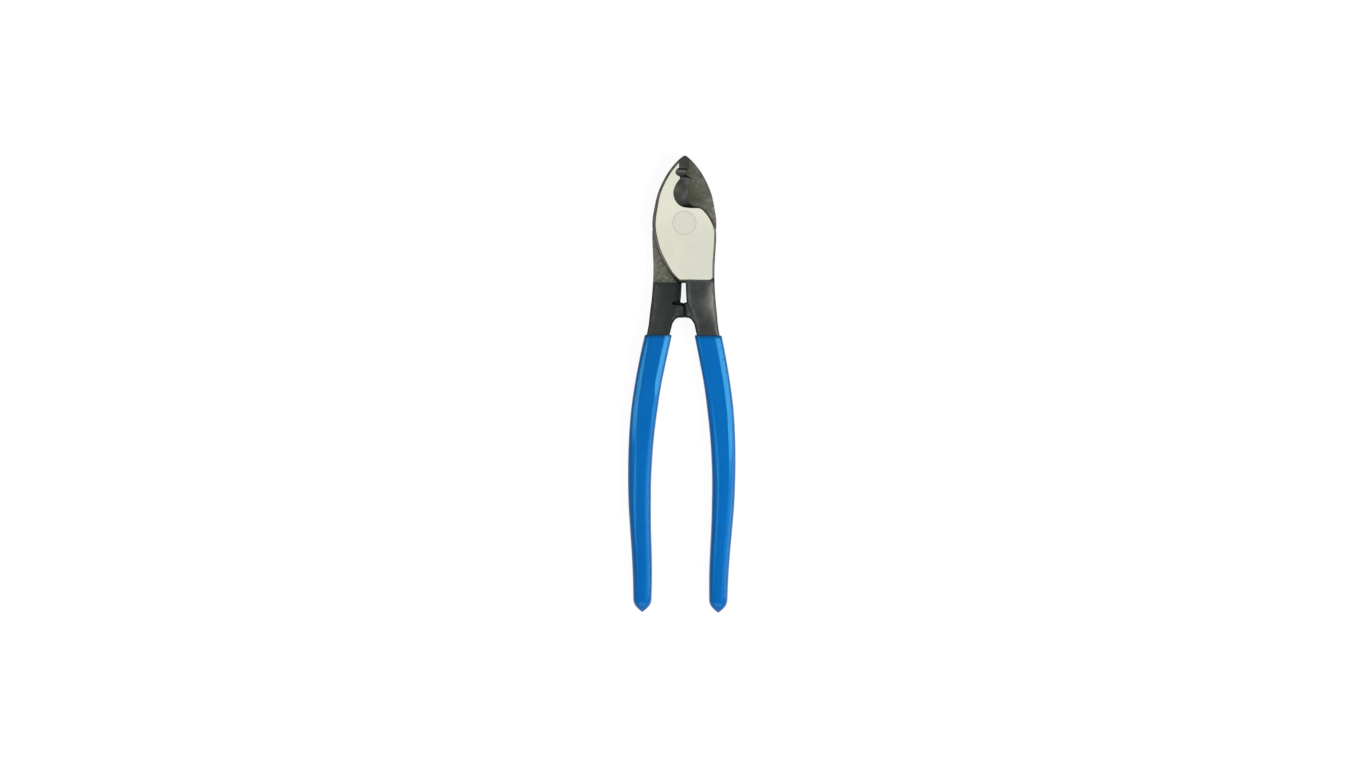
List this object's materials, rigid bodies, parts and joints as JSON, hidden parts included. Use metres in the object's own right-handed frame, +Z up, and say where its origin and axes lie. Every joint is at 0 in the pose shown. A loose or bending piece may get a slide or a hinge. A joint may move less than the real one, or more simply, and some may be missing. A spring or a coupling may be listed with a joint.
{
  "type": "hand cable cutter",
  "caption": "Pliers-type hand cable cutter with hooked shearing jaws on a flush lap-joint rivet, stop lugs and dipped vinyl grips; shown closed, opens on the rivet.",
  "frame": {"origin": "centre of the rivet's lower end face, in the plane that the tool lies on", "axes": "+Z up along the rivet's axis, +Y along the tool's long axis towards the tip of the jaws, +X to the side of the front lever's handle"},
  "size_m": [0.0566, 0.24, 0.0116],
  "materials": {
    "forged_steel": "satin",
    "ground_steel": "satin",
    "blue_vinyl": "gloss"
  },
  "bodies": {
    "rear": {"rear_lever": "forged_steel", "pivot_rivet": "ground_steel", "rear_lever_grip": "blue_vinyl"},
    "front": {"front_lever": "forged_steel", "front_lever_grip": "blue_vinyl"}
  },
  "joints": [
    {"name": "jaw_pivot", "type": "hinge", "parent": "rear", "child": "front", "pos_m": [0, 0, 0.0058], "axis": [0, 0, 1], "range_deg": [0, 60]}
  ]
}
